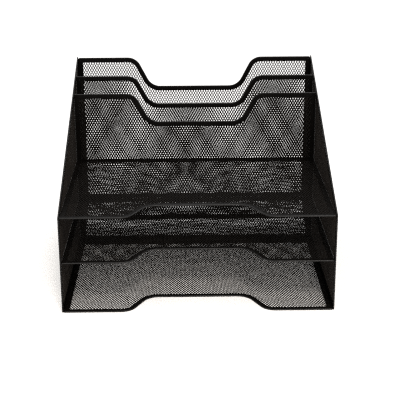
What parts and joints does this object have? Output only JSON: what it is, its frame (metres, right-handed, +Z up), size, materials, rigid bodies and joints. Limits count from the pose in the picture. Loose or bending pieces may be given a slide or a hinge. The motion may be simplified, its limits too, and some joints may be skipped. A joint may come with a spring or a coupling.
{
  "type": "letter tray",
  "caption": "Black mesh desk organiser: stacked level trays for letter paper with stepped upright slots behind, all with notched edges.",
  "frame": {"origin": "centre of the footprint, on the desk surface under the tray", "axes": "+X to the object's right seen from the front, +Y to the back panel, +Z up; paper goes in from -Y"},
  "size_m": [0.318, 0.296, 0.2405],
  "materials": {
    "edge_strip": "satin black powder coat on folded steel strip",
    "wire_mesh": "satin black powder coat on expanded steel mesh",
    "fixing_tab": "satin black powder coat on bent steel tabs"
  },
  "bodies": {
    "root": {"left_side_strip": "edge_strip", "left_side_mesh": "wire_mesh", "right_side_strip": "edge_strip", "right_side_mesh": "wire_mesh", "bottom_tray_strip": "edge_strip", "bottom_tray_mesh": "wire_mesh", "middle_tray_strip": "edge_strip", "middle_tray_mesh": "wire_mesh", "middle_tray_tabs": "fixing_tab", "top_tray_strip": "edge_strip", "top_tray_mesh": "wire_mesh", "top_tray_tabs": "fixing_tab", "front_divider_strip": "edge_strip", "front_divider_mesh": "wire_mesh", "front_divider_tabs": "fixing_tab", "middle_divider_strip": "edge_strip", "middle_divider_mesh": "wire_mesh", "middle_divider_tabs": "fixing_tab", "back_panel_strip": "edge_strip", "back_panel_mesh": "wire_mesh", "slot_floor_strip": "edge_strip", "slot_floor_mesh": "wire_mesh"}
  },
  "joints": []
}
